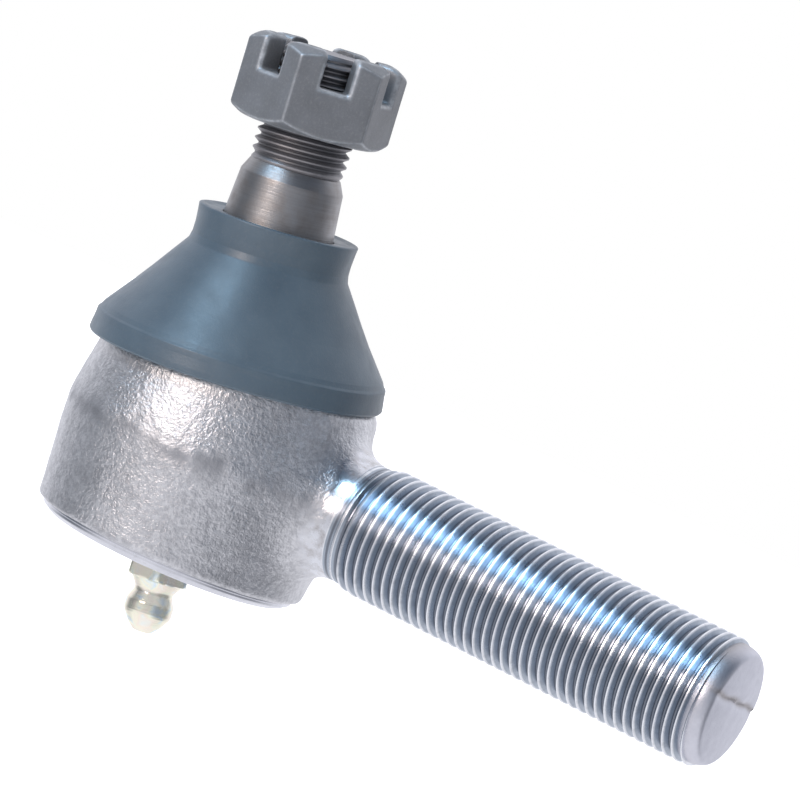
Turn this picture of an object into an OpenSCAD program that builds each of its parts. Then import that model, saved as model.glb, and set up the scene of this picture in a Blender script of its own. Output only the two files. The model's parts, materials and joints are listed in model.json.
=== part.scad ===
// Greasable outer tie rod end: a ball stud in a forged socket with a male threaded shank.
// The ball's centre is the origin, +X runs out along the shank and +Z up the socket's own axis.
// Everything on the stud leans together about the ball's centre, as the joint happens to lie.

/* [Stud lean at rest] */
// Lean of the stud about X, degrees
lean_x = 5; // [-8:0.5:8]
// Lean of the stud about Y, degrees
lean_y = -5; // [-8:0.5:8]

/* [Socket] */
// Widest diameter, at the forging's parting plane
socket_d = 40.4; // [39:0.1:52]
// Draft angle of the forged sides
draft = 6.5; // [3:0.5:8]
// Height of the socket's top above the ball's centre
socket_top = 13.2; // [13:0.1:16]
// Depth of the forged side below the ball's centre
socket_deep = 14; // [13.8:0.1:18]
// Diameter of the machined bore
bore_d = 30; // [29:0.1:32]
// Height of the machined lip rolled over the cover
lip_h = 1.4; // [1.2:0.1:2]
// How far the machined lip stands in from the forged side
lip_step = 0.9; // [0.5:0.1:1.5]

/* [Shank] */
// Major diameter of the shank thread
shank_d = 17.4; // [14:0.1:21]
// Thread pitch of the shank
shank_pitch = 1.411; // [1:0.001:2]
// Number of full threads on the shank
shank_threads = 37; // [20:1:50]
// Distance from the ball's centre to the first thread
shank_start = 25.64; // [25.4:0.01:34]
// Radius of the fillet between shank and socket
neck_fillet = 4; // [3:0.5:5]

/* [Ball and bearings] */
// Ball diameter
ball_d = 24; // [22:0.1:24.5]
// Running clearance between the ball and its bearings
ball_gap = 0.1; // [0.05:0.01:0.2]
// Depth of the flat on the ball's underside
ball_flat = 8.6; // [8:0.1:9.5]
// Thickness of the cover plate
cover_t = 1.3; // [1:0.1:2]
// Thickness of the preload disc spring
disc_t = 0.8; // [0.6:0.1:1.2]

/* [Stud] */
// Diameter of the neck just above the ball
neck_d = 12; // [10:0.1:12]
// Diameter at the taper's small end
taper_d = 13.9; // [13:0.1:16]
// Rise per millimetre of taper diameter, as 1 in this number
taper_ratio = 6; // [5:0.5:10]
// Length of the taper
taper_len = 16; // [13:0.5:20]
// Height of the taper's small end above the ball's centre
taper_top = 37.1; // [35:0.1:46]
// Major diameter of the stud thread
stud_d = 12.7; // [10:0.1:13]
// Thread pitch of the stud
stud_pitch = 1.27; // [1:0.01:1.5]
// Height of the stud's end above the ball's centre
stud_top = 54.6; // [52:0.1:66]
// Diameter of the cotter pin hole
cotter_d = 3.2; // [2.4:0.1:3.6]

/* [Slotted nut] */
// Width across the nut's flats
nut_af = 19.05; // [17:0.05:23]
// Height of the nut
nut_h = 11.4; // [10:0.1:13.6]
// Width of each slot
slot_w = 4.1; // [3.6:0.1:4.6]
// Depth of each slot
slot_deep = 4.8; // [4:0.1:5.4]

/* [Dust boot] */
// How far the boot's lip stands in from the widest part of the socket
lip_inset = 0.2; // [0:0.05:0.4]
// Outer diameter of the boot's collar
collar_d = 21.5; // [21:0.1:26]
// Height of the lip's lower edge above the ball's centre, along the stud
boot_low = 11.15; // [11:0.05:16]
// Height of the boot from lip to collar
boot_h = 20; // [17:0.1:24]
// Wall thickness of the skirt
boot_wall = 1.6; // [1:0.1:2]

/* [Grease fitting] */
// Width across the fitting's hexagon
fitting_af = 7.94; // [7:0.01:9]
// Diameter of the fitting's head
fitting_head_d = 6.5; // [6.3:0.1:6.7]
// Length of the fitting below the cover's boss
fitting_len = 9.7; // [9.5:0.1:14]

// Lean of the fitting, its head towards the shank, degrees
fitting_lean = 7; // [0:0.5:8]

/* [Hidden] */
$fn = 96;
fit_gap = 0.02;      // between pieces that are pressed or clamped together
run_gap = 0.1;       // between pieces that slide on each other
rubber_gap = 0.3;    // between the boot and the stud that turns in it
swing_gap = 0.4;     // between the neck and the socket's mouth at full lean
max_lean = 25.5;     // steepest lean of the stud from the socket's axis
thread_depth = 0.5413; // depth of a 60 degree thread, as a share of its pitch

// socket
socket_r = socket_d / 2;
parting_h = 1.4;                                     // flat band left by the forging dies
low_r = socket_r - (socket_deep - parting_h / 2) * tan(draft) + 0.1;
shoulder = 2;                                        // blend from the sides into the top
high_r = socket_r - (socket_top - parting_h / 2) * tan(draft + 1.5);
bore_r = bore_d / 2;
ball_r = ball_d / 2;
neck_r = neck_d / 2;
function mouth_r(z) = z * tan(max_lean) + neck_r / cos(max_lean) + swing_gap;
seat_r = ball_r + ball_gap;
ceiling = 6.9;                                       // underside of the socket's top wall
lip_r = low_r - lip_step;
lip_low = -socket_deep - lip_h;
cover_r = bore_r + 0.8;
cover_low = lip_low + 0.8;
cover_high = cover_low + cover_t;
seal_h = 0.8;
lip_inner_r = bore_r - 1.3;
boss_r = 5.4;
boss_low = cover_low - 1.6;
boss_high = cover_high + 1.2;

// shank
shank_r = shank_d / 2;
shank_neck_r = shank_r - 0.6;
thread_end = shank_start + shank_threads * shank_pitch;
shank_end = thread_end + 2.45;
neck_from = 10;                                      // the shank starts inside the socket's wall
neck_end = shank_start - 2.4;
fillet_r = shank_neck_r + neck_fillet;
fillet_from = neck_end - neck_fillet;

// bearings
bearing_r = bore_r - run_gap;
bearing_low = -ball_flat - 1.7;
disc_gap = 0.02;

// stud
taper_low = taper_top - taper_len;
taper_low_r = taper_d / 2 + taper_len / taper_ratio / 2;
stud_r = stud_d / 2;
run_out = 1.7;                                       // steep cone between taper and thread
stud_thread_low = taper_top + run_out;
nut_low = stud_top + 0.6 - nut_h;
nut_angle = 39;                                      // one corner's angle from +X
cotter_z = nut_low + nut_h - slot_deep + cotter_d / 2 + 0.15;

// boot
boot_top = boot_low + boot_h;
collar_r = collar_d / 2;
collar_h = 4.6;
skirt_high = boot_top - collar_h - 1.2;
boot_r = socket_r - lip_inset;
lip_band = 3.2;
skirt_low = boot_low + lip_band + 0.3;
lip_hole_r = boot_r - 1.05;
function taper_r(z) = taper_d / 2 + (taper_top - z) / taper_ratio / 2;
ring_r = taper_r(boot_top - collar_h) + rubber_gap + 0.8;
ring_t = 0.9;
ring_h = 2.8;
ring_low = boot_top - collar_h + 0.9;

// grease fitting
fitting_top = boss_high;
fitting_low = boss_low - fitting_len;
fitting_thread_r = 3.1;
fitting_hex_h = 2.6;
fitting_turn = -3;                                   // turn of its hexagon about its axis
grease_r = 0.85;                                     // grease hole through the fitting
head_r = fitting_head_d / 2;
chamber_r = 1.35;
check_r = 1.15;
check_z = fitting_low + 1.6;
spring_wire = 0.3;
spring_top = boss_low - 0.6;

// Tilts what rides on the stud to the way the joint lies at rest.
module on_stud() rotate([lean_x, lean_y, 0]) children();

// Leans what is screwed into the cover's boss.
module on_boss() translate([0, 0, boss_low]) rotate([0, -fitting_lean, 0])
    translate([0, 0, -boss_low]) children();

// Solid of revolution about Z through (radius, height) points.
module turned(points) rotate_extrude() polygon(points);

// Profile of a 60 degree thread as rings: (radius, height) from the start, one ring per pitch.
function thread_profile(r, pitch, from, count) = [
    for (i = [0 : count - 1]) each [
        [r - thread_depth * pitch, from + i * pitch + pitch * 0.125],
        [r, from + i * pitch + pitch * 0.4375],
        [r, from + i * pitch + pitch * 0.5625],
        [r - thread_depth * pitch, from + i * pitch + pitch * 0.875]]];

// Outside of a threaded rod between two heights.
module threaded_rod(r, pitch, from, count)
    turned(concat([[0, from]], [[r - thread_depth * pitch, from]],
        thread_profile(r, pitch, from, count),
        [[r - thread_depth * pitch, from + count * pitch]], [[0, from + count * pitch]]));

// Forged body, neck and threaded shank in one piece, with the machined bore and rolled lip.
module socket_forging() color("silver") {
    difference() {
        union() {
            turned([[0, lip_low], [lip_r - 1.1, lip_low], [lip_r - 0.2, lip_low + 0.5],
                [lip_r, -socket_deep + 0.1], [low_r - 0.5, -socket_deep],
                [low_r, -socket_deep + 0.5], [socket_r, -parting_h / 2],
                [socket_r, parting_h / 2], [high_r, socket_top - shoulder],
                [high_r - 0.5, socket_top - 1], [high_r - shoulder, socket_top],
                [0, socket_top]]);
            shank_neck();
        }
        bearing_bore();
    }
    rotate([0, 90, 0]) {
        threaded_rod(shank_r, shank_pitch, shank_start, shank_threads);
        turned([[0, thread_end], [shank_r - thread_depth * shank_pitch, thread_end],
            [shank_r - 0.45, thread_end + 0.5], [shank_r - 0.6, shank_end - 0.7],
            [shank_r - 1.3, shank_end], [0, shank_end]]);
    }
}

// Round neck, and the fillet that spreads from it into the socket's side.
module shank_neck() {
    rotate([0, 90, 0]) translate([0, 0, neck_from])
        cylinder(r = shank_neck_r, h = shank_start - neck_from);
    intersection() {
        rotate([0, 90, 0]) difference() {
            turned([[0, neck_from], [fillet_r + 1.5, neck_from], [fillet_r, fillet_from],
                [fillet_r, neck_end], [0, neck_end]]);
            translate([0, 0, neck_end]) rotate_extrude()
                translate([fillet_r, 0]) circle(r = neck_fillet);
        }
        translate([0, -socket_r, 0.4 - socket_deep])
            cube([shank_start, socket_d, socket_deep + socket_top - 2.2]);
    }
}

// Everything cut out of the socket: bore, cover seat, rolled lip's opening and conical mouth.
module bearing_bore() {
    translate([0, 0, cover_high]) cylinder(r = bore_r, h = ceiling - cover_high);
    translate([0, 0, cover_low]) cylinder(r = cover_r, h = cover_t + seal_h);
    translate([0, 0, lip_low - 1]) cylinder(r = lip_inner_r, h = 2);
    turned([[0, ceiling - 0.5], [mouth_r(ceiling - 0.5), ceiling - 0.5],
        [mouth_r(socket_top + 0.5), socket_top + 0.5], [0, socket_top + 0.5]]);
}

// Ring above the ball's equator that takes the pull on the stud.
module upper_bearing() color("dimgray") difference() {
    translate([0, 0, run_gap]) cylinder(r = bore_r - fit_gap, h = ceiling - run_gap - fit_gap);
    sphere(r = seat_r);
    translate([0, 0, ceiling / 2]) cylinder(r = mouth_r(ceiling), h = ceiling);
}

// Sprung cup below the ball, with a grease hole and four grease grooves in its seat.
module lower_bearing() color("dimgray") difference() {
    translate([0, 0, bearing_low]) cylinder(r = bearing_r, h = -bearing_low - 1);
    sphere(r = seat_r);
    translate([0, 0, bearing_low - 1]) cylinder(r = 2.4, h = ball_r);
    for (a = [45 : 90 : 315]) rotate([0, 0, a])
        translate([0, -0.7, -ball_flat - 0.5]) cube([ball_r + 1, 1.4, ball_flat]);
}

// Disc spring that presses the lower bearing against the ball.
module preload_spring() color("slategray") turned([
    [6.4, bearing_low - disc_gap - disc_t], [6.4, bearing_low - disc_gap],
    [7.2, bearing_low - disc_gap], [bore_r - 1.2, cover_high + disc_gap + disc_t],
    [bore_r - 1.2, cover_high + disc_gap], [bore_r - 2, cover_high + disc_gap]]);

// Square-section ring that keeps the grease in under the cover's edge.
module cover_seal() color("black") turned([
    [bore_r + 0.02, cover_high], [cover_r, cover_high],
    [cover_r, cover_high + seal_h], [bore_r + 0.02, cover_high + seal_h]]);

// Pressed plate with a threaded boss for the grease fitting, held by the rolled lip.
module cover_plate() color("gainsboro") difference() {
    union() {
        translate([0, 0, cover_low]) cylinder(r = cover_r - fit_gap, h = cover_t);
        on_boss() translate([0, 0, boss_low]) cylinder(r = boss_r, h = boss_high - boss_low);
    }
    on_boss() translate([0, 0, boss_low - 1])
        cylinder(r = fitting_thread_r, h = boss_high - boss_low + 2);
}

// Grease fitting: thread, hexagon, waist and rounded head, bored for its check ball.
module grease_fitting() color("khaki") on_boss() difference() {
    union() {
        translate([0, 0, boss_low - 0.1])
            cylinder(r = fitting_thread_r - fit_gap, h = fitting_top - boss_low + 0.1);
        translate([0, 0, boss_low - fitting_hex_h]) rotate([0, 0, fitting_turn])
            cylinder(r = fitting_af / sqrt(3), h = fitting_hex_h - fit_gap, $fn = 6);
        fitting_head();
    }
    translate([0, 0, fitting_low - 1]) cylinder(r = grease_r, h = fitting_top - fitting_low + 2);
    translate([0, 0, fitting_low + 0.75]) cylinder(r1 = grease_r, r2 = chamber_r, h = 0.5);
    translate([0, 0, fitting_low + 1.25])
        cylinder(r = chamber_r, h = spring_top - fitting_low - 1.25);
}

// Waist and head below the hexagon.
module fitting_head() turned([
    [0, boss_low - 2], [3.6, boss_low - 2], [3.1, boss_low - 2.9], [2.7, boss_low - 3.5],
    [2.65, boss_low - 4.2], [head_r, fitting_low + 4.3], [head_r, fitting_low + 2.8],
    [head_r - 0.25, fitting_low + 2.1], [head_r - 0.8, fitting_low + 1.2],
    [head_r - 1.5, fitting_low + 0.4], [1.2, fitting_low], [0, fitting_low]]);

// Ball that closes the fitting's mouth.
module fitting_ball() color("lightgray") on_boss() translate([0, 0, check_z]) sphere(r = check_r);

// Spring behind the check ball, as a swept helix.
module fitting_spring() color("slategray") on_boss()
    helix(0.85, spring_wire, check_z + check_r - 0.1, spring_top - 0.05, 6);

// Round wire wound about Z between two heights.
module helix(r, wire, low, high, turns, sides = 6, steps = 12) {
    rise = (high - low - wire) / (turns * steps);
    rings = turns * steps;
    points = [for (i = [0 : rings], j = [0 : sides - 1])
        let (a = i * 360 / steps, b = j * 360 / sides, q = r + wire / 2 * cos(b))
        [q * cos(a), q * sin(a), low + wire / 2 + i * rise + wire / 2 * sin(b)]];
    faces = concat([[for (j = [0 : sides - 1]) j]],
        [[for (j = [sides - 1 : -1 : 0]) rings * sides + j]],
        [for (i = [0 : rings - 1], j = [0 : sides - 1])
            let (k = (j + 1) % sides, a = i * sides, b = a + sides)
            each [[a + j, b + k, a + k], [a + j, b + j, b + k]]]);
    polyhedron(points, faces);
}

// Ball, neck, taper and thread in one forging.
module ball_stud() color("rosybrown") on_stud() difference() {
    union() {
        intersection() {
            sphere(r = ball_r);
            translate([0, 0, -ball_flat]) cylinder(r = ball_r + 1, h = 2 * ball_r);
        }
        turned([[0, 0], [neck_r, 0], [neck_r, taper_low - 3], [neck_r + 0.6, taper_low - 1.8],
            [taper_low_r - 0.3, taper_low - 0.3], [taper_low_r, taper_low],
            [taper_d / 2, taper_top], [stud_r - 0.25, stud_thread_low], [0, stud_thread_low]]);
        stud_thread();
    }
    cotter_hole();
}

// Thread of the stud, chamfered at its end.
module stud_thread() intersection() {
    threaded_rod(stud_r, stud_pitch, stud_thread_low - 0.2,
        floor((stud_top - stud_thread_low) / stud_pitch) + 1);
    turned([[0, 0], [stud_r + 1, 0], [stud_r + 1, stud_top - 1.8],
        [stud_r - 0.8, stud_top], [0, stud_top]]);
}

// Hole across the stud at the height of the nut's slots.
module cotter_hole() rotate([0, 0, nut_angle + 30]) translate([-stud_r - 2, 0, cotter_z])
    rotate([0, 90, 0]) cylinder(d = cotter_d, h = stud_d + 4);

// Hexagon nut with six slots across the middle of its flats.
module slotted_nut() color("dimgray") on_stud() translate([0, 0, nut_low]) difference() {
    intersection() {
        rotate([0, 0, nut_angle]) cylinder(r = nut_af / sqrt(3), h = nut_h, $fn = 6);
        turned([[0, 0], [nut_af / 2 - 0.5, 0], [nut_af / 2 + 2, 1.25],
            [nut_af / 2 + 2, nut_h - 1.6], [nut_af / 2 - 0.8, nut_h], [0, nut_h]]);
    }
    nut_thread();
    for (i = [0 : 2]) rotate([0, 0, nut_angle + 30 + i * 60])
        translate([-nut_af, -slot_w / 2, nut_h - slot_deep]) cube([2 * nut_af, slot_w, nut_h]);
}

// Thread inside the nut, in step with the stud's own rings.
module nut_thread() {
    skip = floor((nut_low - stud_thread_low) / stud_pitch) - 1;
    translate([0, 0, stud_thread_low - 0.2 + skip * stud_pitch - nut_low])
        threaded_rod(stud_r + run_gap / 2, stud_pitch, 0, ceil(nut_h / stud_pitch) + 3);
}

// Outline of the boot's section, from the lip's lower edge round by the outside.
module dust_boot() color("darkslategray") on_stud() difference() {
    turned([[lip_hole_r, boot_low], [boot_r - 0.25, boot_low], [boot_r, boot_low + 0.3],
        [boot_r - 0.3, skirt_low - 0.4], [boot_r - 0.5, skirt_low],
        [collar_r + 0.65, skirt_high - 0.2], [collar_r + 0.1, skirt_high + 0.6],
        [collar_r - 0.05, skirt_high + 1.4], [collar_r - 0.1, boot_top - 2.4],
        [collar_r + 0.05, boot_top - 0.2], [collar_r - 0.15, boot_top],
        [taper_r(boot_top) + rubber_gap, boot_top],
        [taper_r(skirt_high) + rubber_gap, skirt_high],
        [collar_r + 0.65 - boot_wall / cos(skirt_angle()), skirt_high - 0.6],
        [boot_r - 0.5 - boot_wall / cos(skirt_angle()), skirt_low],
        [lip_hole_r - 0.6, skirt_low - 1.2]]);
    turned(ring_section(run_gap / 2));
}

// Half-angle of the conical skirt.
function skirt_angle() = atan((boot_r - collar_r - 1.15) / (skirt_high - skirt_low));

// Section of the collar's steel ring, grown by a gap on every side.
function ring_section(gap) = [
    [ring_r - gap, ring_low - gap], [ring_r + ring_t + gap, ring_low - gap],
    [ring_r + ring_t + gap, ring_low + ring_h + gap], [ring_r - gap, ring_low + ring_h + gap]];

// Steel ring moulded into the boot's collar, which keeps it tight on the taper.
module collar_ring() color("lightsteelblue") on_stud() turned(ring_section(0));

socket_forging();
upper_bearing();
lower_bearing();
preload_spring();
cover_seal();
cover_plate();
grease_fitting();
fitting_ball();
fitting_spring();
ball_stud();
slotted_nut();
dust_boot();
collar_ring();
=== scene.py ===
import json
import math

import bmesh
import bpy
import numpy as np
from mathutils import Matrix, Vector, noise


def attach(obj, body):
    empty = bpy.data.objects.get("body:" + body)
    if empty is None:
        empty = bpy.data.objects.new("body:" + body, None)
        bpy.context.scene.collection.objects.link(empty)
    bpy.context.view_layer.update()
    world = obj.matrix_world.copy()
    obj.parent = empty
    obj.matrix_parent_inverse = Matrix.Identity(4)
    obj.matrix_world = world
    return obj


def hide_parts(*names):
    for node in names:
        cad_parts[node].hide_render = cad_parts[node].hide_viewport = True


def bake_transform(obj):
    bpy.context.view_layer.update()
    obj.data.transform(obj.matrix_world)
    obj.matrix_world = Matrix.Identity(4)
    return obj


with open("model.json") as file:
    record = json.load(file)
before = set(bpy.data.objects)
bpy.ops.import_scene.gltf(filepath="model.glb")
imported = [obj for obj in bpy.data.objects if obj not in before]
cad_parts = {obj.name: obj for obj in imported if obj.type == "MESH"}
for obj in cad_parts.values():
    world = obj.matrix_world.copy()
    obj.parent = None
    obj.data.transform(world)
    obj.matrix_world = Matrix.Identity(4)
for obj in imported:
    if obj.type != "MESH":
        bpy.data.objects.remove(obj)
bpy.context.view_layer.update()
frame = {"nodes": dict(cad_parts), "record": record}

# Shapes are worked out in millimetres and turned into metres as each mesh is made.
MM = 0.001
TAU = 2 * math.pi

# ---- Frames ----------------------------------------------------------------------------------
MOUNTS = {mount["name"]: mount for mount in frame["record"]["mounts"]}


def stud_frame():
    """The lean of everything on the stud: first about X, then about Y, as the CAD model has it."""
    x, y, z = MOUNTS["stud_taper"]["axis"]
    return Matrix.Rotation(math.atan2(x, z), 4, "Y") @ Matrix.Rotation(-math.asin(y), 4, "X")


def fitting_frame():
    """The lean of the grease fitting about the face of the cover's boss."""
    x, _, z = MOUNTS["fitting_head"]["axis"]
    lean = Matrix.Rotation(math.atan2(-x, -z), 4, "Y")
    seat = Matrix.Translation((0, 0, BOSS_Z * MM))
    return seat @ lean @ seat.inverted()


# ---- Driving sizes, mm -----------------------------------------------------------------------
# Socket: the radius at the parting plane, the heights of its faces and the draft of its sides.
SOCKET_R = 20.2
SOCKET_TOP = 13.2
SOCKET_LOW = -14.0
PARTING_Z = 0.3
DRAFT_UP = math.tan(math.radians(8))
DRAFT_DOWN = math.tan(math.radians(6.5))
LIP_LOW = -15.4
LIP_R = 17.8
LIP_TOP = -14.25
COVER_Z = -14.6
COVER_OPENING_R = 13.7
COVER_SEAT_R = 15.9
BOSS_Z = -16.2
RIDGE_R = SOCKET_R + 0.08
RIDGE_SOFT = 0.7
TOP_FILLET = 2.2
LOW_FILLET = 0.7
NECK_FILLET = 5.0

# Shank: 11/16-18 left-hand thread, places along X.
SHANK_R = 8.7
SHANK_PITCH = 1.411
SHANK_NECK_R = 8.1
NECK_END = 23.2
THREAD_FROM = 24.9
THREAD_FULL = 27.0
THREAD_END = 78.5
SHANK_END = 80.6
CREST_X = 31.99
CREASE_Z = 1.2
CREASE_TILT = 0.12

# Stud: ball, neck, taper, steep cone and 1/2-20 thread, heights from the ball's centre.
BALL_R = 12.0
BALL_FLAT = 8.6
STUD_NECK_R = 5.75
TAPER_LOW = 21.1
TAPER_TOP = 37.1
TAPER_R = 6.95
TAPER_RISE = 1 / 12
CONE_TOP = 38.8
CONE_TOP_R = 6.12
THREAD_CORE_R = 5.75
STUD_R = 6.35
STUD_PITCH = 1.27
STUD_TOP = 54.6

# Nut
NUT_AF = 19.05
NUT_LOW = 43.8
NUT_TOP = 55.2
NUT_CORNER = math.radians(39)
NUT_TOP_CHAMFER = 0.8
NUT_LOW_CHAMFER = 0.5
NUT_BORE_R = STUD_R + 0.08
NUT_COUNTERSINK = 0.9
SLOT_W = 4.1
SLOT_ROUNDING = 0.15
SLOT_LOW = 50.4

# Cotter pin hole across the stud, in line with two of the nut's slots
COTTER_R = 1.6
COTTER_Z = 52.15
COTTER_TURN = math.radians(69)

# Boot, heights along the stud. Its two pieces meet at BOOT_SEAM.
BOOT_LOW = 11.15
BOOT_TOP = 31.3
BOOT_SEAM = 16.3
BOOT_WALL = 1.15
BOOT_SLOPE = math.radians(38)
SKIRT = [(19.42, 14.5), (19.1, 15.1), (17.85, 16.7), (16.0, 19.05), (14.3, 21.4), (12.65, 23.8),
         (11.5, 25.45)]

# Grease fitting
FITTING_LOW = -25.9
FITTING_AF = 7.94
FITTING_TURN = math.radians(-3)
HEAD_R = 3.25
WAIST_R = 2.64
CHECK_Z = -24.3

# Inside the socket
BEARING_LOW = -10.3
COVER_HIGH = -13.3
DISC_T = 0.8
DISC_HOLE_R = 6.4


def taper_r(z):
    return TAPER_R + (TAPER_TOP - z) * TAPER_RISE


# ---- Mesh helpers ----------------------------------------------------------------------------
def link(name, data):
    """Adds an object to the scene."""
    obj = bpy.data.objects.new(name, data)
    bpy.context.scene.collection.objects.link(obj)
    return obj


def new_object(name, mesh, matrix=None, sharp=40):
    """Links a mesh as an object, shaded smooth except at edges steeper than sharp degrees."""
    mesh.shade_smooth()
    mesh.set_sharp_from_angle(angle=math.radians(sharp))
    obj = link(name, mesh)
    if matrix is not None:
        obj.matrix_world = matrix
    return obj


def grid_mesh(name, points, faces):
    """A mesh from points in millimetres."""
    mesh = bpy.data.meshes.new(name)
    mesh.from_pydata((np.asarray(points, float) * MM).tolist(), [], faces)
    mesh.validate()
    tidy = bmesh.new()
    tidy.from_mesh(mesh)
    bmesh.ops.remove_doubles(tidy, verts=tidy.verts, dist=1e-7)
    bmesh.ops.recalc_face_normals(tidy, faces=tidy.faces)
    tidy.to_mesh(mesh)
    tidy.free()
    return mesh


def cut_off(shape, place, normal):
    """Removes what lies beyond a plane, on the side its normal points to."""
    whole = shape.verts[:] + shape.edges[:] + shape.faces[:]
    bmesh.ops.bisect_plane(shape, geom=whole, plane_co=place, plane_no=normal, clear_outer=True)


def close_holes(shape):
    """Fills each open edge loop with one face."""
    bmesh.ops.holes_fill(shape, edges=[e for e in shape.edges if e.is_boundary], sides=0)


def ring_faces(rings, segments, looped=False):
    """Faces between rings of points. If looped the last ring joins the first, else both ends are capped."""
    joins = rings if looped else rings - 1
    faces = [(i * segments + j, i * segments + (j + 1) % segments,
              (i + 1) % rings * segments + (j + 1) % segments, (i + 1) % rings * segments + j)
             for i in range(joins) for j in range(segments)]
    if not looped:
        faces += [tuple(range(segments)), tuple((rings - 1) * segments + j for j in range(segments))]
    return faces


FILLET_STEP = 0.12


def outline(corners, step=0.6):
    """A closed outline through (radius, height, fillet) corners: arcs at fillets, even steps between."""
    n = len(corners)
    trimmed = []
    for i in range(n):
        r, z = corners[i][:2]
        fillet = corners[i][2] if len(corners[i]) > 2 else 0
        here = np.array([r, z], float)
        before = np.array(corners[i - 1][:2], float) - here
        after = np.array(corners[(i + 1) % n][:2], float) - here
        if fillet == 0:
            trimmed.append([here])
            continue
        u, v = before / np.linalg.norm(before), after / np.linalg.norm(after)
        half = math.acos(float(np.clip(u @ v, -1, 1))) / 2
        cut = min(fillet / math.tan(half), 0.45 * np.linalg.norm(before), 0.45 * np.linalg.norm(after))
        steps = max(3, int(cut / FILLET_STEP))
        trimmed.append([(1 - t) ** 2 * (here + u * cut) + 2 * t * (1 - t) * here + t * t * (here + v * cut)
                        for t in np.linspace(0, 1, steps + 1)])
    result = []
    for i in range(n):
        result += list(trimmed[i])
        start, end = trimmed[i][-1], trimmed[(i + 1) % n][0]
        pieces = max(1, int(np.linalg.norm(end - start) / step))
        result += [start + (end - start) * k / pieces for k in range(1, pieces)]
    return np.array(result)


def revolve(name, corners, segments=160, step=0.6, shift=None):
    """A closed solid of revolution about Z. shift(points) may move the finished points."""
    loop = outline(corners, step)
    loop[:, 0] = np.maximum(loop[:, 0], 0)
    angles = np.arange(segments) * TAU / segments
    points = np.stack([np.outer(loop[:, 0], np.cos(angles)), np.outer(loop[:, 0], np.sin(angles)),
                       np.repeat(loop[:, 1:2], segments, axis=1)], axis=-1).reshape(-1, 3)
    if shift is not None:
        points = shift(points)
    return grid_mesh(name, points, ring_faces(len(loop), segments, looped=True))


# A thread across one turn, from crest to crest: half its flat crest, one flank, and where rows of
# points run along it, closest at the edges of the crest.
CREST_HALF = 0.07
FLANK = 0.35
THREAD_ROWS = [-0.5, -0.42, -0.33, -0.24, -0.15, -0.1, -0.07, -0.04, 0.04, 0.07, 0.1, 0.15, 0.24, 0.33, 0.42]


def thread_shape(u):
    """Depth of a 60 degree thread, 0 on the flat crest and 1 at the root; u is in turns."""
    return min(max((abs(u) - CREST_HALF) / FLANK, 0), 1)


def threaded_rod(name, radius, pitch, hand, low, high, crest, segments):
    """A helical thread along Z, right-handed if hand is 1 and left-handed if -1. Its rows follow the
    helix, so the crests stay crisp. radius(z, depth) gives the surface for a depth of 0 to 1."""
    first = math.floor((low - crest) / pitch) - 2
    last = math.ceil((high - crest) / pitch) + 2
    rows = [turn + phase for turn in range(first, last) for phase in THREAD_ROWS]
    points = []
    depths = []
    for row in rows:
        depth = thread_shape(row - round(row))
        depths += [depth] * segments
        for j in range(segments):
            z = crest + pitch * (row + hand * j / segments)
            r = radius(z, depth)
            points.append((r * math.cos(TAU * j / segments), r * math.sin(TAU * j / segments), z))
    faces = []
    for i in range(len(rows) - 1):
        for j in range(segments):
            if j + 1 < segments:
                faces.append((i * segments + j, i * segments + j + 1,
                              (i + 1) * segments + j + 1, (i + 1) * segments + j))
                continue
            over = i + hand * len(THREAD_ROWS)
            if 0 <= over < len(rows) - 1:
                faces.append((i * segments + j, over * segments,
                              (over + 1) * segments, (i + 1) * segments + j))
    mesh = bpy.data.meshes.new(name)
    mesh.from_pydata((np.array(points) * MM).tolist(), [], faces)
    set_attribute(mesh, "depth", np.array(depths))
    cut = bmesh.new()
    cut.from_mesh(mesh)
    cut_off(cut, (0, 0, low * MM), (0, 0, -1))
    cut_off(cut, (0, 0, high * MM), (0, 0, 1))
    close_holes(cut)
    bmesh.ops.recalc_face_normals(cut, faces=cut.faces)
    cut.to_mesh(mesh)
    cut.free()
    return mesh


def drilled(mesh, radius, length, centre, turn):
    """The mesh with a round hole right through it, across Z and turned about Z."""
    drill = bpy.data.meshes.new("drill")
    shape = bmesh.new()
    bmesh.ops.create_cone(shape, cap_ends=True, segments=40, radius1=radius * MM, radius2=radius * MM,
                          depth=length * MM)
    shape.to_mesh(drill)
    shape.free()
    tool = new_object("drill", drill, Matrix.Translation(Vector(centre) * MM)
                      @ Matrix.Rotation(turn, 4, "Z") @ Matrix.Rotation(math.radians(90), 4, "Y"))
    blank = new_object("blank", mesh)
    cut = blank.modifiers.new("cut", "BOOLEAN")
    cut.operation = "DIFFERENCE"
    cut.solver = "EXACT"
    cut.object = tool
    bpy.context.view_layer.update()
    result = bpy.data.meshes.new_from_object(blank.evaluated_get(bpy.context.evaluated_depsgraph_get()))
    for obj in (tool, blank):
        bpy.data.objects.remove(obj)
    return result


def smooth_max(a, b, k):
    """The larger of two distances, their meeting edge filleted over k."""
    h = np.clip(0.5 + 0.5 * (a - b) / k, 0, 1)
    return b * (1 - h) + a * h + k * h * (1 - h)


def smooth_min(a, b, k):
    return -smooth_max(-a, -b, k)


def gradient(field, points, e=0.02):
    """Slope of a distance field at each point, from differences over e either way."""
    result = np.empty_like(points)
    for axis in range(3):
        offset = np.zeros(3)
        offset[axis] = e
        result[:, axis] = (field(points + offset) - field(points - offset)) / (2 * e)
    return result


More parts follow.
